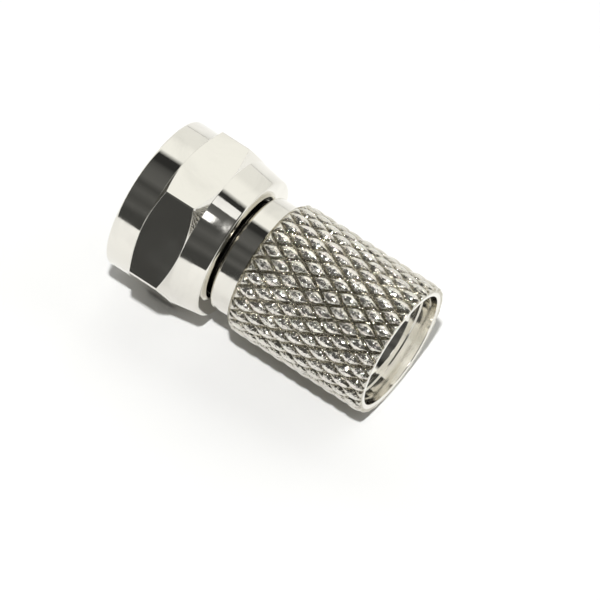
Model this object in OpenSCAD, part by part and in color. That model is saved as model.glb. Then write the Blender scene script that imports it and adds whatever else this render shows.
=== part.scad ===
// F connector for coaxial cable: a free-turning hex coupling nut, the flanged ferrule that traps it,
// and a diamond-knurled body that twists on to the cable jacket. Turned brass, in millimetres.
// The axis lies along X: x = 0 is the open end of the nut, and +X runs to the cable end.
// A flat of the hex faces straight down, as the connector lies on a bench.

/* [Coupling nut] */
// Overall length of the nut
nut_l = 7.15; // [6.6:0.05:10]
// Length of the turned collar ahead of the flats
collar_l = 1.95; // [1:0.05:2.4]
// How far the collar is turned below the flats
collar_step = 0.02; // [0.01:0.01:0.3]
// Length of the flats along their middle
flat_l = 3.14; // [2:0.01:3.6]
// Angle of the chamfers on the hex corners
corner_deg = 30; // [20:1:40]
// How far the tail starts below the flats
tail_step = 0.02; // [0.01:0.01:0.3]
// How far the tail falls towards its end
tail_fall = 0.35; // [0:0.01:0.5]
// Rounding of the outer rims of the nut
nut_edge = 0.18; // [0.05:0.01:0.3]
// Coupling thread, across its roots
thread_major_d = 9.53; // [9:0.01:12]
// Height of the coupling thread
thread_h = 0.415; // [0.3:0.005:0.5]
// How far the lead-in opens past the roots of the thread
lead_over = 0.07; // [0:0.01:0.15]
// How far the relief behind the thread opens past its roots
relief_over = 0.035; // [0:0.005:0.1]
// Metal between the roots of the thread and the flats
nut_wall = 0.735; // [0.6:0.005:2]
// Thickness of the inward lip at the back of the nut
lip_t = 1.4; // [0.8:0.05:1.8]

/* [Ferrule] */
// Thickness of the flange
flange_t = 0.9; // [0.5:0.05:1.4]
// Step from the spigot up to the journal on which the nut turns
journal_step = 0.35; // [0.2:0.01:0.45]
// Hole for the cable's dielectric
dielectric_d = 4.9; // [3.7:0.05:5.5]
// Small edge break on the ferrule
ferrule_edge = 0.12; // [0.05:0.01:0.2]

/* [Body] */
// How far the neck is turned below the roots of the knurl
neck_step = 0.27; // [0.03:0.01:0.6]
// Length of the neck
neck_l = 1.75; // [1:0.05:3]
// Chamfer round the front of the neck
neck_edge = 0.28; // [0.1:0.02:0.4]
// Length of the knurled sleeve
sleeve_l = 10.67; // [8:0.01:14]
// Chamfer round the front shoulder of the sleeve
shoulder_edge = 0.42; // [0.1:0.02:0.5]
// Chamfer round the rim of the sleeve
rim_edge = 0.16; // [0.05:0.01:0.25]
// Thickness of the web that grips the ferrule
web_l = 3; // [2:0.05:4]
// Width of the floor round the ferrule, at the bottom of the cable bore
floor_w = 0.4; // [0.2:0.02:0.8]

/* [Knurl] */
// Length of one tooth along the axis
tooth_l = 2; // [1.4:0.05:3]
// Width of one tooth round the sleeve
tooth_w = 1.12; // [0.9:0.01:1.6]
// Turn of the pattern about the axis
knurl_turn = -1.9; // [-6:0.1:6]
// Depth of the grooves
knurl_depth = 0.36; // [0.15:0.01:0.4]
// Share of a tooth's width that its flat top takes
knurl_flat = 0.16; // [0.05:0.01:0.4]

/* [Cable bore] */
// Bore that bites the cable jacket, across its thread crests
jacket_d = 7; // [5.5:0.05:9]
// Height of the jacket thread, which the relief clears
bite_h = 0.45; // [0.3:0.01:0.6]
// Length of the relief
relief_l = 1.5; // [0.5:0.05:2.5]
// Step from the relief up to the mouth
mouth_step = 0.17; // [0.05:0.01:0.25]
// Depth of the mouth
mouth_l = 1.07; // [0.5:0.01:1.5]
// Width of the end ring, from the mouth to the crests of the knurl
rim_w = 0.73; // [0.6:0.01:1.5]

/* [Clearances] */
// Radial clearance of the nut on its journal
nut_run = 0.05; // [0.02:0.01:0.1]
// Gap between the lip and the flange
flange_gap = 0.05; // [0.03:0.01:0.2]
// Gap between the nut and the front of the body
shoulder_gap = 0.15; // [0.05:0.01:0.3]
// Gap between the end of the thread and the flange
thread_gap = 0.2; // [0.05:0.01:0.5]
// Radial gap between the flange and the thread crests
flange_run = 0.15; // [0.05:0.01:0.4]

/* [Hidden] */
facets = 96;
past = 1;

// Stations along the axis
flat_end_x = collar_l + flat_l;
lip_x = nut_l - lip_t;
seat_x = lip_x - flange_gap;
face_x = seat_x - flange_t;
thread_end_x = face_x - thread_gap;
neck_x = nut_l + shoulder_gap;
sleeve_x = neck_x + neck_l;
rim_x = sleeve_x + sleeve_l;
web_x = neck_x + web_l;
mouth_x = rim_x - mouth_l;
bite_x = mouth_x - relief_l;

// Radii of the nut
thread_root_r = thread_major_d / 2;
thread_crest_r = thread_root_r - thread_h;
relief_r = thread_root_r + relief_over;
lead_r = thread_root_r + lead_over;
lead_l = lead_r - thread_crest_r;
flat_r = thread_root_r + nut_wall;
corner_r = flat_r / cos(30);
collar_r = flat_r - collar_step;
tail_r = flat_r - tail_step;
tail_end_r = tail_r - tail_fall;

// Radii of the cable bore and the sleeve round it
jacket_r = jacket_d / 2;
bite_r = jacket_r + bite_h;
mouth_r = bite_r + mouth_step;
sleeve_r = mouth_r + rim_w;
root_r = sleeve_r - knurl_depth;

// Radii of the ferrule, and of what grips it and turns on it
spigot_r = jacket_r - floor_w;
journal_r = spigot_r + journal_step;
lip_r = journal_r + nut_run;
flange_r = thread_crest_r - flange_run;
dielectric_r = dielectric_d / 2;
neck_r = root_r - neck_step;

// The knurl is a net of half teeth, with a whole number of teeth round the sleeve
teeth = round(2 * PI * sleeve_r / tooth_w);
step_deg = 180 / teeth;
step_x = tooth_l / 2;
rows = ceil(sleeve_l / step_x) + 2;
ring = 2 * teeth;

steel = [0.80, 0.80, 0.78];
bright = [0.86, 0.85, 0.80];

// Points of a round from angle a0 to a1 about (r, x)
function round_edge(r, x, e, a0, a1, n = 4) =
    [for (i = [0:n]) let (a = a0 + (a1 - a0) * i / n) [r + e * cos(a), x + e * sin(a)]];

// Turns an outline of (radius, station) points about the X axis
module turned(outline) {
    rotate([0, 90, 0])
        rotate_extrude($fn = facets)
            polygon(outline);
}

module nut_blank() {
    corner_front_x = collar_l + (corner_r - collar_r) * tan(corner_deg);
    corner_back_x = flat_end_x - (corner_r - tail_r) * tan(corner_deg);
    turned(concat(
        [[0, 0]],
        round_edge(collar_r - nut_edge, nut_edge, nut_edge, -90, 0),
        [[collar_r, collar_l], [corner_r, corner_front_x]],
        [[corner_r, corner_back_x], [tail_r, flat_end_x]],
        round_edge(tail_end_r - nut_edge, nut_l - nut_edge, nut_edge, 0, 90),
        [[0, nut_l]]));
}

module hex_bar() {
    translate([-past, 0, 0])
        rotate([0, 90, 0])
            rotate([0, 0, 30])
                cylinder(r = corner_r, h = nut_l + 2 * past, $fn = 6);
}

module nut_bore() {
    turned([
        [0, -past],
        [lead_r + past, -past],
        [thread_crest_r, lead_l],
        [thread_crest_r, thread_end_x],
        [relief_r, thread_end_x],
        [relief_r, lip_x],
        [lip_r, lip_x],
        [lip_r, nut_l + past],
        [0, nut_l + past]]);
}

module coupling_nut() {
    color(bright)
        difference() {
            intersection() {
                nut_blank();
                hex_bar();
            }
            nut_bore();
        }
}

module ferrule() {
    color(steel)
        turned([
            [dielectric_r + ferrule_edge, face_x],
            [flange_r - ferrule_edge, face_x],
            [flange_r, face_x + ferrule_edge],
            [flange_r, seat_x],
            [journal_r, seat_x],
            [journal_r, neck_x],
            [spigot_r, neck_x],
            [spigot_r, web_x],
            [dielectric_r + ferrule_edge, web_x],
            [dielectric_r, web_x - ferrule_edge],
            [dielectric_r, face_x + ferrule_edge]]);
}

// Radius of one point of the net: grooves cross at every other point, and a sharp tooth stands between
function knurl_r(row, i) = root_r + ((row + i) % 2 == 0 ? 0 : knurl_depth / (1 - knurl_flat));

function knurl_point(row, i) =
    let (r = knurl_r(row, i), a = i * step_deg + knurl_turn)
    [sleeve_x + (row - 1) * step_x, r * sin(a), r * cos(a)];

// Two triangles of one cell, split along the groove
function knurl_cell(row, i) =
    let (a = row * ring + i, b = row * ring + (i + 1) % ring, c = b + ring, d = a + ring)
    (row + i) % 2 == 0 ? [[a, b, c], [a, c, d]] : [[a, b, d], [b, c, d]];

// Sharp-toothed rod, longer than the sleeve at both ends. The blank trims its teeth to flat tops
module knurled_rod() {
    points = [for (row = [0:rows]) for (i = [0:ring - 1]) knurl_point(row, i)];
    sides = [for (row = [0:rows - 1]) for (i = [0:ring - 1]) each knurl_cell(row, i)];
    first = [for (i = [ring - 1:-1:0]) i];
    last = [for (i = [0:ring - 1]) rows * ring + i];
    polyhedron(points = points, faces = concat(sides, [first], [last]), convexity = 4);
}

module sleeve_blank() {
    turned([
        [0, sleeve_x],
        [sleeve_r - shoulder_edge, sleeve_x],
        [sleeve_r, sleeve_x + shoulder_edge],
        [sleeve_r, rim_x - rim_edge],
        [sleeve_r - rim_edge, rim_x],
        [0, rim_x]]);
}

module neck() {
    turned([
        [0, neck_x],
        [neck_r - neck_edge, neck_x],
        [neck_r, neck_x + neck_edge],
        [neck_r, sleeve_x + past],
        [0, sleeve_x + past]]);
}

module body_bore() {
    turned([
        [0, neck_x - past],
        [spigot_r, neck_x - past],
        [spigot_r, web_x],
        [jacket_r, web_x],
        [jacket_r, bite_x],
        [bite_r, bite_x],
        [bite_r, mouth_x],
        [mouth_r, mouth_x],
        [mouth_r, rim_x + past],
        [0, rim_x + past]]);
}

module body() {
    color(bright)
        difference() {
            union() {
                neck();
                intersection() {
                    knurled_rod();
                    sleeve_blank();
                }
            }
            body_bore();
        }
}

coupling_nut();
ferrule();
body();
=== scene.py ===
"""Dressed model of a twist-on F connector, lying on a pale table under soft studio light.

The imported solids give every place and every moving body. Each turned piece is modelled here again
as a fine mesh, with its edge rounds, its threads and its knurl, and stands for its solid.
Lengths in the piece classes are in millimetres; meshes, lights and the camera are in metres.
"""

from __future__ import annotations

import logging
import math
from dataclasses import dataclass
from enum import Enum
from typing import Callable, Sequence

import bpy
from mathutils import Matrix, Vector

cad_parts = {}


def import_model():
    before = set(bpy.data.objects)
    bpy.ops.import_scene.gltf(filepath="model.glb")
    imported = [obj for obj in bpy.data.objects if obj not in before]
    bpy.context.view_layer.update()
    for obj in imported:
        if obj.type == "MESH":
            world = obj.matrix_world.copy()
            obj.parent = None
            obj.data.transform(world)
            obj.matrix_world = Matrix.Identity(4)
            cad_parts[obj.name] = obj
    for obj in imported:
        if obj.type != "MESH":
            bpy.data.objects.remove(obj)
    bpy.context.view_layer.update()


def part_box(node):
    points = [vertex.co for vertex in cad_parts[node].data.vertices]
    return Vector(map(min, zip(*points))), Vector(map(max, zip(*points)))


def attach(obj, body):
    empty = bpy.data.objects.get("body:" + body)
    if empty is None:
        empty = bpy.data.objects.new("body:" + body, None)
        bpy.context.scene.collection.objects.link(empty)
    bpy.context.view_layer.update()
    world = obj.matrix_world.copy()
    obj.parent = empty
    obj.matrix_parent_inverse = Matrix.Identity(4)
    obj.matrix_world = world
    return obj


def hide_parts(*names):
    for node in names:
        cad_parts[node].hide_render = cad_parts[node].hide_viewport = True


LOG = logging.getLogger("f_connector")
MM = 0.001
FULL_TURN = 2 * math.pi
STRAIGHT_HALF = math.radians(89.5)  # half the angle at a corner, above which its sides are in line
REACH_SHARE = 0.49  # share of a side that the round at one of its ends may take
FLANK_SOFTNESS = 0.35  # how much of a thread's flank follows an eased curve
HAZE_SHADE = 0.93  # how much of the plate's colour is left under haze
RING_BUMP = 0.02  # mm
RIPPLE_BUMP = 0.05  # mm
GRAIN_BUMP = 0.05  # mm
RIPPLE_SIZE = 620.0  # patches of ripple to a metre

Point = tuple[float, float]
Outline = list[Point]


# ---------------------------------------------------------------------------
# Outlines and nets
# ---------------------------------------------------------------------------


@dataclass(frozen=True)
class Corner:
    """One corner of a turned outline.

    Attributes:
        x: Station along the axis, in mm.
        r: Distance from the axis, in mm.
        round: Radius of the round that blends the corner, in mm, or 0 for a plain point.
    """

    x: float
    r: float
    round: float = 0.0


def blend_corner(before: Corner, corner: Corner, after: Corner, steps: int) -> Outline:
    """Replace one corner with the arc that touches both of its sides.

    Args:
        before: The corner before it.
        corner: The corner to round.
        after: The corner after it.
        steps: Number of chords in the arc.

    Returns:
        The arc's points, steps + 1 of them, or as many copies where the sides are in line.
    """
    here = Vector((corner.x, corner.r))
    back = Vector((before.x, before.r)) - here
    ahead = Vector((after.x, after.r)) - here
    reach = min(back.length, ahead.length) * REACH_SHARE
    back.normalize()
    ahead.normalize()
    half = math.acos(max(-1.0, min(1.0, back.dot(ahead)))) / 2
    if half > STRAIGHT_HALF:
        return [(corner.x, corner.r)] * (steps + 1)
    tangent = min(corner.round / math.tan(half), reach)
    radius = tangent * math.tan(half)
    centre = here + (back + ahead).normalized() * (radius / math.sin(half))
    first = here + back * tangent - centre
    last = here + ahead * tangent - centre
    sweep = first.angle_signed(last)
    points = []
    for step in range(steps + 1):
        turn = -sweep * step / steps
        cos_t, sin_t = math.cos(turn), math.sin(turn)
        points.append((
            centre.x + first.x * cos_t - first.y * sin_t,
            centre.y + first.x * sin_t + first.y * cos_t,
        ))
    return points


def rounded(corners: Sequence[Corner], steps: int = 4) -> Outline:
    """Turn a run of corners into points, with an arc at each rounded corner.

    Args:
        corners: The corners in order. The two ends are never rounded.
        steps: Number of chords in each arc.

    Returns:
        The points, the same number for any run with the same corners rounded.
    """
    points: Outline = [(corners[0].x, corners[0].r)]
    for before, corner, after in zip(corners, corners[1:], corners[2:]):
        if corner.round > 0:
            points += blend_corner(before, corner, after, steps)
        else:
            points.append((corner.x, corner.r))
    points.append((corners[-1].x, corners[-1].r))
    return points


def stations(start: float, end: float, count: int) -> list[float]:
    """Even stations strictly between two ends.

    Args:
        start: The first end.
        end: The last end.
        count: How many spaces to divide the stretch into.

    Returns:
        The count - 1 places between the ends.
    """
    return [start + (end - start) * step / count for step in range(1, count)]


def even_angles(count: int, first: float = 0.0) -> list[float]:
    """Angles spread evenly round the axis, in radians."""
    return [first + FULL_TURN * step / count for step in range(count)]


def soft_min(a: float, b: float, blend: float) -> float:
    """The smaller of two values, with a smooth passage of the given width between them."""
    share = max(blend - abs(a - b), 0.0) / blend
    return min(a, b) - share * share * blend / 4


class TurnedNet:
    """A closed net of quads whose rows follow an outline and whose columns stand round the X axis."""

    def __init__(self, name: str, angles: Sequence[float]) -> None:
        """Start an empty net.

        Args:
            name: Name of the finished object.
            angles: Angle of each column about +X, from +Y towards +Z, in radians.
        """
        self.name = name
        self.angles = list(angles)
        self.rows = 0
        self.points: list[tuple[float, float, float]] = []

    def wrap(self, outline_at: Callable[[float], Outline]) -> None:
        """Sweep an outline that may change with the angle.

        Args:
            outline_at: Gives the closed outline at an angle, always with the same number of points.
        """
        columns = [outline_at(angle) for angle in self.angles]
        self.rows = len(columns[0])
        for row in range(self.rows):
            for angle, column in zip(self.angles, columns):
                x, r = column[row]
                self.points.append((x * MM, r * math.cos(angle) * MM, r * math.sin(angle) * MM))

    def build(self, cross: Callable[[int, int], bool] | None = None) -> bpy.types.Object:
        """Make the mesh object.

        Args:
            cross: Says for a row and a column whether that quad is split along its second diagonal, and
                not along its first. If it is left out, every quad stays whole.

        Returns:
            The new object, linked to the scene and shaded smooth.
        """
        around = len(self.angles)
        faces: list[tuple[int, ...]] = []
        for row in range(self.rows):
            after = (row + 1) % self.rows
            for column in range(around):
                beside = (column + 1) % around
                a, b = row * around + column, row * around + beside
                c, d = after * around + beside, after * around + column
                if cross is None:
                    faces.append((a, b, c, d))
                elif cross(row, column):
                    faces += [(a, b, d), (b, c, d)]
                else:
                    faces += [(a, b, c), (a, c, d)]
        mesh = bpy.data.meshes.new(self.name)
        mesh.from_pydata(self.points, [], faces)
        mesh.validate()
        mesh.shade_smooth()
        piece = bpy.data.objects.new(self.name, mesh)
        bpy.context.scene.collection.objects.link(piece)
        return piece


def weigh_normals(piece: bpy.types.Object) -> None:
    """Let the broad faces set the shading, so that flats stay flat beside their edge rounds."""
    weigh = piece.modifiers.new("broad_faces_lead", "WEIGHTED_NORMAL")
    weigh.mode = "FACE_AREA"
    weigh.weight = 90
    weigh.keep_sharp = False


# ---------------------------------------------------------------------------
# Threads
# ---------------------------------------------------------------------------


@dataclass(frozen=True)
class InnerThread:
    """A right-hand screw thread on the wall of a bore.

    Attributes:
        start: Station where the full bore begins, in mm.
        end: Station where it stops, in mm.
        crest_r: Radius across the crests, the inmost metal, in mm.
        root_r: Radius across the roots, in mm.
        pitch: Distance from one turn to the next, in mm.
        crest_share: Share of the pitch that the crest takes.
        root_share: Share of the pitch that the root takes.
        run_out: Length over which the grooves rise out at each end, in mm.
        rows_per_turn: How many rows of the net one turn gets.
    """

    start: float
    end: float
    crest_r: float
    root_r: float
    pitch: float
    crest_share: float
    root_share: float
    run_out: float
    rows_per_turn: int

    def depth_at(self, x: float, angle: float) -> float:
        """Share of the full groove depth at a station and an angle."""
        place = (x / self.pitch - angle / FULL_TURN) % 1.0
        off_root = abs(place - 0.5)
        flank = (1 - self.crest_share - self.root_share) / 2
        share = 1 - (off_root - self.root_share / 2) / flank
        share = max(0.0, min(1.0, share))
        eased = share * share * (3 - 2 * share)
        share = eased * FLANK_SOFTNESS + share * (1 - FLANK_SOFTNESS)
        near_end = min(x - self.start, self.end - x) / self.run_out
        return share * max(0.0, min(1.0, near_end))

    def rows(self, angle: float) -> Outline:
        """Points of the bore wall at one angle, from the end station back to the start."""
        count = round((self.end - self.start) / self.pitch * self.rows_per_turn)
        points = []
        for x in stations(self.end, self.start, count):
            depth = self.depth_at(x, angle)
            points.append((x, self.crest_r + (self.root_r - self.crest_r) * depth))
        return points


# ---------------------------------------------------------------------------
# Finishes
# ---------------------------------------------------------------------------


class Tone(Enum):
    """Base colours of the nickel plate, as linear RGB."""

    BRIGHT_NICKEL = (0.82, 0.80, 0.745)
    SATIN_NICKEL = (0.70, 0.685, 0.65)
    # Painted shade: a dark brownish colour laid into the knurl's grooves
    PAINTED_GROOVE_SHADE = (0.30, 0.265, 0.165)
    PAPER = (0.90, 0.90, 0.895)


class GroupMaker:
    """Builds the shader node groups that several finishes share."""

    def __init__(self, name: str) -> None:
        """Start a group with its input and output nodes."""
        self.tree = bpy.data.node_groups.new(name, "ShaderNodeTree")
        self.entry = self.tree.nodes.new("NodeGroupInput")
        self.exit = self.tree.nodes.new("NodeGroupOutput")

    def input(self, name: str, default: float) -> None:
        """Add a named number input."""
        socket = self.tree.interface.new_socket(name, in_out="INPUT", socket_type="NodeSocketFloat")
        socket.default_value = default

    def output(self, name: str) -> None:
        """Add a named number output."""
        self.tree.interface.new_socket(name, in_out="OUTPUT", socket_type="NodeSocketFloat")

    def node(self, kind: str, **settings: object) -> bpy.types.Node:
        """Add a node and set its properties."""
        made = self.tree.nodes.new(kind)
        for key, value in settings.items():
            setattr(made, key, value)
        return made

    def link(self, source: bpy.types.NodeSocket, target: bpy.types.NodeSocket) -> None:
        """Join two sockets."""
        self.tree.links.new(source, target)

    def math(self, operation: str, a: object, b: object = 0.0) -> bpy.types.NodeSocket:
        """Add a math node.

        Args:
            operation: The operation's name.
            a: First value, a socket or a number.
            b: Second value, a socket or a number.

        Returns:
            The result's socket.
        """
        made = self.node("ShaderNodeMath", operation=operation)
        for slot, value in enumerate((a, b)):
            if isinstance(value, bpy.types.NodeSocket):
                self.link(value, made.inputs[slot])
            else:
                made.inputs[slot].default_value = value
        return made.outputs[0]

    def span(self, value: bpy.types.NodeSocket, low: object, high: object,
             to_low: object = 0.0, to_high: object = 1.0) -> bpy.types.NodeSocket:
        """Map a value from one span to another, smoothly and held at the ends."""
        made = self.node("ShaderNodeMapRange", interpolation_type="SMOOTHSTEP")
        for key, given in (("Value", value), ("From Min", low), ("From Max", high),
                           ("To Min", to_low), ("To Max", to_high)):
            if isinstance(given, bpy.types.NodeSocket):
                self.link(given, made.inputs[key])
            else:
                made.inputs[key].default_value = given
        return made.outputs["Result"]


def make_handling_group() -> bpy.types.ShaderNodeTree:
    """Haze of handling: soft smears and fine specks over polished metal.

    Returns:
        A group with inputs Smear Size and Speck Size, and outputs Haze and Specks, both 0 to 1.
    """
    maker = GroupMaker("handling_haze")
    maker.input("Smear Size", 260.0)
    maker.input("Speck Size", 5200.0)
    maker.output("Haze")
    maker.output("Specks")
    place = maker.node("ShaderNodeTexCoord")
    smear = maker.node("ShaderNodeTexNoise")
    smear.inputs["Detail"].default_value = 4.0
    smear.inputs["Roughness"].default_value = 0.6
    smear.inputs["Distortion"].default_value = 0.8
    maker.link(place.outputs["Object"], smear.inputs["Vector"])
    maker.link(maker.entry.outputs["Smear Size"], smear.inputs["Scale"])
    maker.link(maker.span(smear.outputs["Fac"], 0.42, 0.68), maker.exit.inputs["Haze"])
    speck = maker.node("ShaderNodeTexNoise")
    speck.inputs["Detail"].default_value = 2.0
    maker.link(place.outputs["Object"], speck.inputs["Vector"])
    maker.link(maker.entry.outputs["Speck Size"], speck.inputs["Scale"])
    maker.link(maker.span(speck.outputs["Fac"], 0.45, 0.72), maker.exit.inputs["Specks"])
    return maker.tree


def make_turning_group() -> bpy.types.ShaderNodeTree:
    """Fine rings left by the lathe, standing square to the axis.

    Returns:
        A group with the input Feed, rings to a metre, and the output Height.
    """
    maker = GroupMaker("turning_rings")
    maker.input("Feed", 9000.0)
    maker.output("Height")
    place = maker.node("ShaderNodeTexCoord")
    parts = maker.node("ShaderNodeSeparateXYZ")
    maker.link(place.outputs["Object"], parts.inputs["Vector"])
    along = maker.math("MULTIPLY", parts.outputs["X"], maker.entry.outputs["Feed"])
    ring = maker.node("ShaderNodeTexNoise", noise_dimensions="1D")
    ring.inputs["Scale"].default_value = 1.0
    ring.inputs["Detail"].default_value = 3.0
    maker.link(along, ring.inputs["W"])
    maker.link(ring.outputs["Fac"], maker.exit.inputs["Height"])
    return maker.tree


def make_groove_group() -> bpy.types.ShaderNodeTree:
    """Masks by radius about the X axis: the low ground of a knurl, where shade is painted, and the whole of
    the knurl.

    Returns:
        A group with inputs Inner Radius, Low Radius and High Radius in metres. Its outputs are Depth, 1 in
        the grooves, and Knurled, 1 on everything that lies outside the low radius.
    """
    maker = GroupMaker("groove_depth")
    maker.input("Inner Radius", 0.00436)
    maker.input("Low Radius", 0.00449)
    maker.input("High Radius", 0.0048)
    maker.output("Depth")
    maker.output("Knurled")
    place = maker.node("ShaderNodeTexCoord")
    parts = maker.node("ShaderNodeSeparateXYZ")
    maker.link(place.outputs["Object"], parts.inputs["Vector"])
    across = maker.math("MULTIPLY", parts.outputs["Y"], parts.outputs["Y"])
    up = maker.math("MULTIPLY", parts.outputs["Z"], parts.outputs["Z"])
    radius = maker.math("SQRT", maker.math("ADD", across, up))
    knurled = maker.span(radius, maker.entry.outputs["Inner Radius"], maker.entry.outputs["Low Radius"])
    low = maker.span(radius, maker.entry.outputs["Low Radius"], maker.entry.outputs["High Radius"], 1.0, 0.0)
    maker.link(maker.math("MULTIPLY", low, knurled), maker.exit.inputs["Depth"])
    maker.link(knurled, maker.exit.inputs["Knurled"])
    return maker.tree


@dataclass(frozen=True)
class GroupSet:
    """The shared node groups, built once."""

    handling: bpy.types.ShaderNodeTree
    turning: bpy.types.ShaderNodeTree
    groove: bpy.types.ShaderNodeTree

    @classmethod
    def build(cls) -> GroupSet:
        """Build every shared group."""
        return cls(make_handling_group(), make_turning_group(), make_groove_group())


@dataclass(frozen=True)
class NickelFinish:
    """Nickel plate on turned brass.

    Attributes:
        name: Name of the material.
        tone: Base colour of the plate.
        polish: Roughness of the clean plate.
        haze: Roughness that handling adds at its worst.
        ring_height: Strength of the lathe's rings in the bump.
        ripple: Strength of the slow unevenness of the polish in the bump.
        painted_groove_shade: How strongly painted shade darkens the grooves, from 0 to 1.
        grain: Strength of the fine grain that the knurling wheels leave, in the bump.
        groove_inner: Radius below which the part is no longer knurled, in mm.
        groove_low: Radius of the groove bottoms, in mm.
        groove_high: Radius where the painted groove shade ends, in mm.
    """

    name: str
    tone: Tone
    polish: float
    haze: float
    ring_height: float
    ripple: float
    painted_groove_shade: float = 0.0
    grain: float = 0.0
    groove_inner: float = 4.36
    groove_low: float = 4.49
    groove_high: float = 4.88

    def build(self, groups: GroupSet) -> bpy.types.Material:
        """Make the material.

        Args:
            groups: The shared node groups.

        Returns:
            The finished material.
        """
        material = bpy.data.materials.new(self.name)
        material.use_nodes = True
        tree = material.node_tree
        shader = tree.nodes["Principled BSDF"]
        shader.inputs["Metallic"].default_value = 1.0

        handling = tree.nodes.new("ShaderNodeGroup")
        handling.node_tree = groups.handling
        colour = tree.nodes.new("ShaderNodeMixRGB")
        colour.inputs["Color1"].default_value = (*self.tone.value, 1)
        colour.inputs["Color2"].default_value = (*(HAZE_SHADE * c for c in self.tone.value), 1)
        tree.links.new(handling.outputs["Haze"], colour.inputs["Fac"])
        base = colour.outputs["Color"]
        # Painted shade: a dark brownish colour darkens the knurl's grooves
        if self.painted_groove_shade > 0:
            base = self.add_painted_groove_shade(tree, groups, base)
        tree.links.new(base, shader.inputs["Base Color"])

        rough = tree.nodes.new("ShaderNodeMapRange")
        rough.inputs["To Min"].default_value = self.polish
        rough.inputs["To Max"].default_value = self.polish + self.haze
        tree.links.new(handling.outputs["Haze"], rough.inputs["Value"])
        tree.links.new(rough.outputs["Result"], shader.inputs["Roughness"])

        tree.links.new(self.add_bump(tree, groups), shader.inputs["Normal"])
        return material

    def add_groove_mask(self, tree: bpy.types.NodeTree, groups: GroupSet) -> bpy.types.Node:
        """Place the groove group with this finish's radii."""
        groove = tree.nodes.new("ShaderNodeGroup")
        groove.node_tree = groups.groove
        groove.inputs["Inner Radius"].default_value = self.groove_inner * MM
        groove.inputs["Low Radius"].default_value = self.groove_low * MM
        groove.inputs["High Radius"].default_value = self.groove_high * MM
        return groove

    def add_painted_groove_shade(self, tree: bpy.types.NodeTree, groups: GroupSet,
                 base: bpy.types.NodeSocket) -> bpy.types.NodeSocket:
        """Darken the grooves with painted shade, a dark brownish colour mixed into the plate's colour.

        Args:
            tree: The material's nodes.
            groups: The shared node groups.
            base: Colour of the clean plate.

        Returns:
            The colour with the painted groove shade on it.
        """
        groove = self.add_groove_mask(tree, groups)
        amount = tree.nodes.new("ShaderNodeMath")
        amount.operation = "MULTIPLY"
        amount.inputs[1].default_value = self.painted_groove_shade
        tree.links.new(groove.outputs["Depth"], amount.inputs[0])
        mixed = tree.nodes.new("ShaderNodeMixRGB")
        mixed.inputs["Color2"].default_value = (*Tone.PAINTED_GROOVE_SHADE.value, 1)
        tree.links.new(amount.outputs[0], mixed.inputs["Fac"])
        tree.links.new(base, mixed.inputs["Color1"])
        return mixed.outputs["Color"]

    def add_bump(self, tree: bpy.types.NodeTree, groups: GroupSet) -> bpy.types.NodeSocket:
        """Add the relief of the finish: lathe rings, a slow ripple in the polish, and grain on a knurl.

        Args:
            tree: The material's nodes.
            groups: The shared node groups.

        Returns:
            The bumped normal.
        """
        turning = tree.nodes.new("ShaderNodeGroup")
        turning.node_tree = groups.turning
        rings = tree.nodes.new("ShaderNodeBump")
        rings.inputs["Strength"].default_value = self.ring_height
        rings.inputs["Distance"].default_value = RING_BUMP * MM
        tree.links.new(turning.outputs["Height"], rings.inputs["Height"])
        handling = tree.nodes.new("ShaderNodeGroup")
        handling.node_tree = groups.handling
        handling.inputs["Smear Size"].default_value = RIPPLE_SIZE
        ripple = tree.nodes.new("ShaderNodeBump")
        ripple.inputs["Strength"].default_value = self.ripple
        ripple.inputs["Distance"].default_value = RIPPLE_BUMP * MM
        tree.links.new(handling.outputs["Haze"], ripple.inputs["Height"])
        tree.links.new(rings.outputs["Normal"], ripple.inputs["Normal"])
        if self.grain <= 0:
            return ripple.outputs["Normal"]
        knurled = tree.nodes.new("ShaderNodeMath")
        knurled.operation = "MULTIPLY"
        knurled.inputs[1].default_value = self.grain
        tree.links.new(self.add_groove_mask(tree, groups).outputs["Knurled"], knurled.inputs[0])
        grain = tree.nodes.new("ShaderNodeBump")
        grain.inputs["Distance"].default_value = GRAIN_BUMP * MM
        tree.links.new(knurled.outputs[0], grain.inputs["Strength"])
        tree.links.new(handling.outputs["Specks"], grain.inputs["Height"])
        tree.links.new(ripple.outputs["Normal"], grain.inputs["Normal"])
        return grain.outputs["Normal"]


# ---------------------------------------------------------------------------
# Pieces
# ---------------------------------------------------------------------------


def dress(piece: bpy.types.Object, material: bpy.types.Material,
          node: str, body: str) -> None:
    """Give a piece its finish and its place in the frame.

    Args:
        piece: The piece.
        material: Its finish.
        node: The solid that it stands for.
        body: The body that it rides on.
    """
    piece.data.materials.append(material)
    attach(piece, body)
    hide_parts(node)
    mesh = piece.data
    LOG.info("built %s: %d points, %d faces", piece.name, len(mesh.vertices), len(mesh.polygons))


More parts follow.
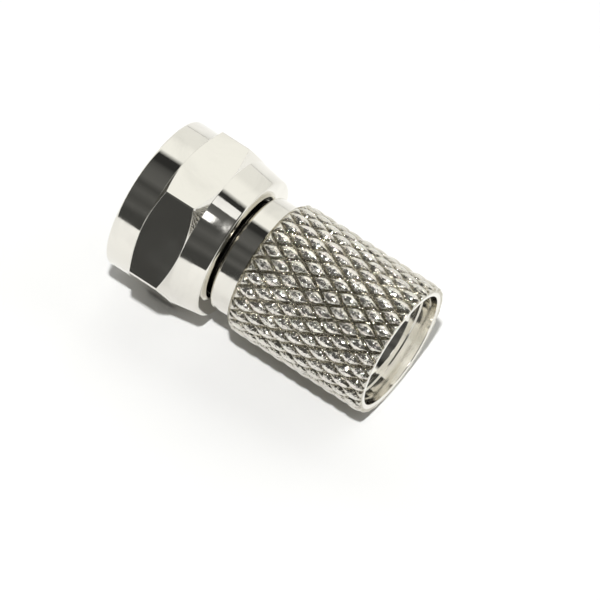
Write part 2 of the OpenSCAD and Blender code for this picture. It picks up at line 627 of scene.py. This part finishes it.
@dataclass
class CouplingNut:
    """The free-turning nut: collar, hex and tail outside, coupling thread inside. Lengths in mm."""

    length: float
    flat_r: float
    collar_length: float = 1.95
    collar_step: float = 0.02
    flat_length: float = 3.14
    corner_slope: float = math.tan(math.radians(30))
    corner_round: float = 0.10
    tail_step: float = 0.02
    tail_fall: float = 0.35
    rim_round: float = 0.18
    edge_round: float = 0.05
    lead_r: float = 4.835
    thread_root_r: float = 4.765
    thread_crest_r: float = 4.35
    thread_pitch: float = 25.4 / 32
    relief_r: float = 4.8
    thread_end: float = 4.6
    lip_x: float = 5.75
    lip_r: float = 3.5
    finish: NickelFinish = NickelFinish(
        "nut_nickel", Tone.BRIGHT_NICKEL, polish=0.05, haze=0.06, ring_height=0.01, ripple=0.012)

    def column_angles(self) -> list[float]:
        """Angles of the net's columns, closer together at the six corners."""
        half_flat = math.pi / 6
        steps = [0.0, 0.14, 0.28, 0.42, 0.56, 0.68, 0.78, 0.86, 0.915, 0.95, 0.97, 0.985]
        sector = [-half_flat] + [-half_flat * s for s in reversed(steps[1:])]
        sector += [half_flat * s for s in steps]
        first_flat = math.pi / 2
        return [first_flat + flat * 2 * half_flat + angle for flat in range(6) for angle in sector]

    def hex_r(self, angle: float) -> float:
        """Distance from the axis to the rounded hexagon at an angle, with a flat facing up."""
        half_flat = math.pi / 6
        off_flat = abs((angle - math.pi / 2 + half_flat) % (2 * half_flat) - half_flat)
        off_corner = half_flat - off_flat
        centre = (self.flat_r - self.corner_round) / math.cos(half_flat)
        touch = math.atan2(self.corner_round * math.sin(half_flat),
                           centre + self.corner_round * math.cos(half_flat))
        if off_corner >= touch:
            return self.flat_r / math.cos(off_flat)
        across = centre * math.sin(off_corner)
        return centre * math.cos(off_corner) + math.sqrt(self.corner_round ** 2 - across ** 2)

    def outline(self, angle: float) -> Outline:
        """The nut's closed outline at one angle, from the lead-in round the outside and back inside."""
        collar_r = self.flat_r - self.collar_step
        tail_r = self.flat_r - self.tail_step
        hex_r = self.hex_r(angle)
        hex_front = self.collar_length + (hex_r - collar_r) * self.corner_slope
        flat_end = self.collar_length + self.flat_length
        hex_back = flat_end - (hex_r - tail_r) * self.corner_slope
        outside = rounded([
            Corner(0, self.lead_r),
            Corner(0, collar_r, self.rim_round),
            Corner(self.collar_length, collar_r, self.edge_round),
            Corner(hex_front, hex_r, self.edge_round),
            Corner(hex_back, hex_r, self.edge_round),
            Corner(flat_end, tail_r, self.edge_round),
            Corner(self.length, tail_r - self.tail_fall, self.rim_round),
            Corner(self.length, self.lip_r, self.edge_round),
            Corner(self.lip_x, self.lip_r, self.edge_round),
            Corner(self.lip_x, self.relief_r),
            Corner(self.thread_end, self.relief_r),
        ])
        lead_end = self.lead_r - self.thread_crest_r
        thread = InnerThread(lead_end, self.thread_end, self.thread_crest_r, self.thread_root_r,
                             self.thread_pitch, crest_share=0.25, root_share=0.125, run_out=0.25,
                             rows_per_turn=22)
        wall = [(self.thread_end, self.thread_crest_r)] + thread.rows(angle)
        wall.append((lead_end, self.thread_crest_r))
        return outside + wall

    def build(self, groups: GroupSet) -> bpy.types.Object:
        """Build the nut and dress it."""
        net = TurnedNet("nut_shell", self.column_angles())
        net.wrap(self.outline)
        piece = net.build()
        weigh_normals(piece)
        dress(piece, self.finish.build(groups), "coupling_nut", "nut")
        return piece


@dataclass
class Ferrule:
    """The flanged ferrule that traps the nut and is pressed into the body. Lengths in mm."""

    face_x: float
    end_x: float
    flange_length: float = 0.9
    shoulder_x: float = 7.3
    flange_r: float = 4.2
    journal_r: float = 3.45
    spigot_r: float = 3.1
    bore_r: float = 2.45
    edge_round: float = 0.10
    columns: int = 144
    finish: NickelFinish = NickelFinish(
        "ferrule_nickel", Tone.SATIN_NICKEL, polish=0.12, haze=0.08, ring_height=0.10, ripple=0.03)

    def outline(self, angle: float) -> Outline:
        """The closed outline, the same at every angle."""
        seat_x = self.face_x + self.flange_length
        return rounded([
            Corner((self.face_x + self.end_x) / 2, self.bore_r),
            Corner(self.face_x, self.bore_r, self.edge_round),
            Corner(self.face_x, self.flange_r, self.edge_round),
            Corner(seat_x, self.flange_r, self.edge_round / 2),
            Corner(seat_x, self.journal_r),
            Corner(self.shoulder_x, self.journal_r),
            Corner(self.shoulder_x, self.spigot_r),
            Corner(self.end_x, self.spigot_r, self.edge_round / 2),
            Corner(self.end_x, self.bore_r, self.edge_round),
            Corner((self.face_x + self.end_x) / 2 + self.edge_round, self.bore_r),
        ])

    def build(self, groups: GroupSet) -> bpy.types.Object:
        """Build the ferrule and dress it."""
        net = TurnedNet("ferrule_turned", even_angles(self.columns))
        net.wrap(self.outline)
        piece = net.build()
        weigh_normals(piece)
        dress(piece, self.finish.build(groups), "ferrule", "root")
        return piece


@dataclass
class KnurledBody:
    """The body: plain neck, knurled sleeve, and the cable bore with its jacket thread. Lengths in mm."""

    front_x: float
    rim_x: float
    sleeve_r: float
    sleeve_x: float = 9.05
    neck_r: float = 4.22
    neck_edge: float = 0.28
    shoulder_edge: float = 0.42
    rim_edge: float = 0.16
    edge_round: float = 0.06
    spigot_r: float = 3.1
    web_x: float = 10.3
    jacket_r: float = 3.5
    bite_r: float = 3.95
    bite_x: float = 17.15
    mouth_r: float = 4.12
    mouth_x: float = 18.65
    mouth_bevel: float = 0.05
    bite_pitch: float = 1.5
    teeth: int = 27
    tooth_length: float = 2.0
    tooth_depth: float = 0.36
    groove_share: float = 0.24
    dome_rise: float = 0.36
    net_turn: float = math.radians(91.9)
    cells: int = 8
    # The body's finish paints a dark brownish shade into the knurl's grooves
    finish: NickelFinish = NickelFinish(
        "body_nickel", Tone.BRIGHT_NICKEL, polish=0.06, haze=0.08, ring_height=0.04, ripple=0.012,
        painted_groove_shade=0.75, grain=0.7)

    def groove_places(self, x: float, angle: float) -> tuple[float, float]:
        """How far a place lies from the nearest left-hand and right-hand groove, 0 in it and 1 midway."""
        round_place = (self.net_turn - angle) / FULL_TURN * self.teeth
        along_place = (x - self.sleeve_x) / self.tooth_length + 0.5
        from_left = 1 - abs(2 * ((round_place + along_place) % 1.0) - 1)
        from_right = 1 - abs(2 * ((round_place - along_place) % 1.0) - 1)
        return from_left, from_right

    def tooth_height(self, x: float, angle: float) -> float:
        """Height of the knurl above its roots at a station and an angle, in mm."""
        from_left, from_right = self.groove_places(x, angle)
        return self.tooth_depth * self.flank(from_left) * self.flank(from_right)

    def flank(self, share: float) -> float:
        """Rise of a tooth between a groove, at 0, and the crest line, at 1: a steep wall, then a dome."""
        wall = min(share / self.groove_share, 1.0)
        dome = (max(share, self.groove_share) - self.groove_share) / (1 - self.groove_share)
        return (1 - self.dome_rise) * wall + self.dome_rise * (1 - (1 - dome) ** 2)

    def trim_r(self, x: float) -> float:
        """Radius to which the turned blank limits the sleeve at a station."""
        shoulder = self.sleeve_r - self.shoulder_edge + (x - self.sleeve_x)
        rim = self.sleeve_r - self.rim_edge + (self.rim_x - x)
        return min(shoulder, rim, self.sleeve_r)

    def knurl_stations(self) -> list[float]:
        """Stations of the knurl's rows, on the net's own steps and at the blank's chamfers."""
        step = self.tooth_length / 2 / self.cells
        count = math.floor((self.rim_x - self.sleeve_x) / step)
        places = [self.sleeve_x + step * row for row in range(count + 1)]
        return places + [self.rim_x]

    def front_outline(self) -> Outline:
        """The plain front of the outline: the end face, the neck and the foot of the shoulder."""
        return rounded([
            Corner(self.front_x, self.spigot_r),
            Corner(self.front_x, self.neck_r - self.neck_edge, self.edge_round),
            Corner(self.front_x + self.neck_edge, self.neck_r, self.edge_round),
            Corner(self.sleeve_x, self.neck_r, self.edge_round),
            Corner(self.sleeve_x, self.sleeve_r - self.shoulder_edge - self.edge_round),
        ])

    def outline(self, angle: float) -> Outline:
        """The body's closed outline at one angle, over the knurl and back through the bore."""
        root_r = self.sleeve_r - self.tooth_depth
        knurl = []
        for x in self.knurl_stations():
            surface = root_r + self.tooth_height(x, angle)
            knurl.append((x, soft_min(surface, self.trim_r(x), self.edge_round)))
        rim_r = knurl[-1][1]
        bore = rounded([
            Corner(self.rim_x, rim_r - self.edge_round),
            Corner(self.rim_x, self.mouth_r, self.edge_round),
            Corner(self.mouth_x, self.mouth_r, self.edge_round / 2),
            Corner(self.mouth_x - self.mouth_bevel, self.bite_r, self.edge_round / 2),
            Corner(self.bite_x, self.bite_r),
            Corner(self.bite_x, self.jacket_r),
        ])
        thread = InnerThread(self.web_x, self.bite_x, self.jacket_r, self.bite_r,
                             self.bite_pitch, crest_share=0.2, root_share=0.3, run_out=0.3,
                             rows_per_turn=14)
        floor = [(self.web_x, self.jacket_r), (self.web_x, self.spigot_r)]
        return self.front_outline() + knurl + bore + thread.rows(angle) + floor

    def build(self, groups: GroupSet) -> bpy.types.Object:
        """Build the body and dress it."""
        around = 2 * self.teeth * self.cells
        net = TurnedNet("knurled_sleeve", even_angles(around, self.net_turn))
        net.wrap(self.outline)
        first_row = len(self.front_outline())
        places = self.knurl_stations()

        def along_right_groove(row: int, column: int) -> bool:
            """Whether the quad lies nearer to a right-hand groove, so is split along it."""
            if not first_row <= row < first_row + len(places) - 1:
                return False
            x = (places[row - first_row] + places[row - first_row + 1]) / 2
            angle = net.angles[column] + math.pi / around
            from_left, from_right = self.groove_places(x, angle)
            return from_right < from_left

        piece = net.build(along_right_groove)
        weigh_normals(piece)
        dress(piece, self.finish.build(groups), "body", "root")
        return piece


# ---------------------------------------------------------------------------
# Studio
# ---------------------------------------------------------------------------


@dataclass
class Table:
    """The pale table top. The connector lies on the nut's flat and the sleeve's rim, so its axis leans."""

    nut_heel: Point
    rim_foot: Point
    size: float = 6.0

    def build(self) -> bpy.types.Object:
        """Build the table top as one broad sheet and stage it."""
        lean = math.atan2(self.rim_foot[1] - self.nut_heel[1], self.rim_foot[0] - self.nut_heel[0])
        mesh = bpy.data.meshes.new("table_top")
        half = self.size / 2
        mesh.from_pydata([(-half, -half, 0), (half, -half, 0), (half, half, 0), (-half, half, 0)], [],
                         [(0, 1, 2, 3)])
        top = bpy.data.objects.new("table_top", mesh)
        top.matrix_world = (Matrix.Translation((self.nut_heel[0] * MM, 0, self.nut_heel[1] * MM))
                            @ Matrix.Rotation(-lean, 4, "Y"))
        bpy.context.scene.collection.objects.link(top)
        paper = bpy.data.materials.new("table_paper")
        paper.use_nodes = True
        shader = paper.node_tree.nodes["Principled BSDF"]
        shader.inputs["Base Color"].default_value = (*Tone.PAPER.value, 1)
        shader.inputs["Roughness"].default_value = 0.9
        shader.inputs["Specular IOR Level"].default_value = 0.1
        mesh.materials.append(paper)
        LOG.info("built the table top, leaning %.2f degrees", math.degrees(lean))
        return top


@dataclass
class Lamp:
    """A soft rectangular lamp that faces the connector.

    Attributes:
        name: Name of the lamp.
        side_deg: Angle of the lamp about the X axis, from straight up towards +Y, in degrees.
        along_deg: How far it leans towards +X, in degrees.
        distance: Distance from the connector, in metres.
        width: Its size along X, in metres.
        depth: Its size across X, in metres.
        radiance: Brightness of its face.
    """

    name: str
    side_deg: float
    along_deg: float
    distance: float
    width: float
    depth: float
    radiance: float

    def build(self, centre: Vector) -> bpy.types.Object:
        """Hang the lamp.

        Args:
            centre: The point that it faces.

        Returns:
            The lamp's object.
        """
        light = bpy.data.lights.new(self.name, "AREA")
        light.shape = "RECTANGLE"
        light.size, light.size_y = self.width, self.depth
        light.energy = self.radiance * math.pi * self.width * self.depth
        lamp = bpy.data.objects.new(self.name, light)
        side, along = math.radians(self.side_deg), math.radians(self.along_deg)
        way = Vector((math.sin(along), math.cos(along) * math.sin(side), math.cos(along) * math.cos(side)))
        facing = -way
        across = Vector((1, 0, 0)) - facing * facing.x
        across.normalize()
        upward = facing.cross(across) * -1
        turn = Matrix((across, upward, -facing)).transposed().to_4x4()
        lamp.matrix_world = Matrix.Translation(centre + way * self.distance) @ turn
        bpy.context.scene.collection.objects.link(lamp)
        LOG.info("hung %s", self.name)
        return lamp


@dataclass(frozen=True)
class RoomBand:
    """Brightness of the room at one angle about the X axis, from straight up towards +Y."""

    side_deg: float
    radiance: float


@dataclass
class Room:
    """What surrounds the table: a dim room on the near side and overhead, a white sweep on the far side."""

    bands: tuple[RoomBand, ...] = (
        RoomBand(-91, 0.058), RoomBand(-74, 0.060), RoomBand(-65, 0.110), RoomBand(-55, 0.072),
        RoomBand(-43, 0.105), RoomBand(-32, 0.060), RoomBand(-22, 0.118), RoomBand(-8, 0.105),
        RoomBand(1, 0.075), RoomBand(6, 0.030), RoomBand(17, 0.030), RoomBand(21, 0.60),
        RoomBand(24, 1.07), RoomBand(44, 1.06), RoomBand(56, 0.93), RoomBand(100, 0.93),
    )
    tint: tuple[float, float, float] = (1.0, 1.0, 0.96)

    def build(self) -> bpy.types.World:
        """Make the world from the bands."""
        world = bpy.data.worlds.new("studio_room")
        world.use_nodes = True
        tree = world.node_tree
        back = tree.nodes["Background"]
        place = tree.nodes.new("ShaderNodeTexCoord")
        split = tree.nodes.new("ShaderNodeSeparateXYZ")
        tree.links.new(place.outputs["Generated"], split.inputs["Vector"])
        angle = tree.nodes.new("ShaderNodeMath")
        angle.operation = "ARCTAN2"
        tree.links.new(split.outputs["Y"], angle.inputs[0])
        tree.links.new(split.outputs["Z"], angle.inputs[1])
        share = tree.nodes.new("ShaderNodeMapRange")
        share.inputs["From Min"].default_value = -math.pi
        share.inputs["From Max"].default_value = math.pi
        tree.links.new(angle.outputs[0], share.inputs["Value"])
        ramp = tree.nodes.new("ShaderNodeValToRGB")
        marks = ramp.color_ramp.elements
        marks.remove(marks[1])
        for order, band in enumerate(self.bands):
            position = band.side_deg / 360 + 0.5
            mark = marks[0] if order == 0 else marks.new(position)
            mark.position = position
            mark.color = (*(band.radiance * share_of for share_of in self.tint), 1)
        tree.links.new(share.outputs["Result"], ramp.inputs["Fac"])
        tree.links.new(ramp.outputs["Color"], back.inputs["Color"])
        bpy.context.scene.world = world
        return world


@dataclass
class Viewpoint:
    """The camera: a long lens that looks down on the connector from the cable end's side."""

    target: tuple[float, float, float] = (12.0, -0.234, -1.043)
    azimuth_deg: float = 24.53
    elevation_deg: float = 53.76
    roll_deg: float = 12.55
    distance: float = 371.4
    lens: float = 342.1

    def build(self) -> bpy.types.Object:
        """Set up the camera and make it the scene's own."""
        data = bpy.data.cameras.new("viewpoint")
        data.sensor_width = 36.0
        data.lens = self.lens
        data.clip_start = 0.01
        data.clip_end = 10.0
        camera = bpy.data.objects.new("viewpoint", data)
        azimuth, elevation = math.radians(self.azimuth_deg), math.radians(self.elevation_deg)
        back = Vector((math.sin(azimuth) * math.cos(elevation),
                       -math.cos(azimuth) * math.cos(elevation), math.sin(elevation)))
        level = Vector((math.cos(azimuth), math.sin(azimuth), 0))
        turn = Matrix((level, back.cross(level), back)).transposed().to_4x4()
        place = (Vector(self.target) + back * self.distance) * MM
        camera.matrix_world = (Matrix.Translation(place) @ turn
                               @ Matrix.Rotation(math.radians(self.roll_deg), 4, "Z"))
        bpy.context.scene.collection.objects.link(camera)
        bpy.context.scene.camera = camera
        return camera


def main() -> None:
    """Build the connector piece by piece, then the studio round it."""
    logging.basicConfig(level=logging.INFO, format="%(name)s: %(message)s")
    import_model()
    groups = GroupSet.build()

    nut_low, nut_high = (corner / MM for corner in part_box("coupling_nut"))
    ferrule_low, ferrule_high = (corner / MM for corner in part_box("ferrule"))
    body_low, body_high = (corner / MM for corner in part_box("body"))

    nut = CouplingNut(length=nut_high.x, flat_r=nut_high.z)
    nut.build(groups)
    Ferrule(face_x=ferrule_low.x, end_x=ferrule_high.x).build(groups)
    body = KnurledBody(front_x=body_low.x, rim_x=body_high.x, sleeve_r=4.85)
    body.build(groups)

    flat_end = nut.collar_length + nut.flat_length - nut.tail_step * nut.corner_slope
    Table((flat_end, -nut.flat_r), (body.rim_x - body.rim_edge, -body.sleeve_r)).build()
    centre = Vector(((nut_low.x + body_high.x) / 2, 0, 0)) * MM
    for lamp in (
        Lamp("lamp_over", side_deg=3.0, along_deg=5.0, distance=1.0, width=0.20, depth=0.23, radiance=1.0),
        Lamp("lamp_near", side_deg=-22.0, along_deg=5.5, distance=1.0, width=0.20, depth=0.20, radiance=1.4),
        Lamp("lamp_key", side_deg=-21.0, along_deg=5.5, distance=1.0, width=0.045, depth=0.045,
             radiance=1290.0),
    ):
        lamp.build(centre)
    Room().build()
    Viewpoint().build()
    bpy.context.scene.view_settings.view_transform = "Standard"


if __name__ == "__main__":
    main()
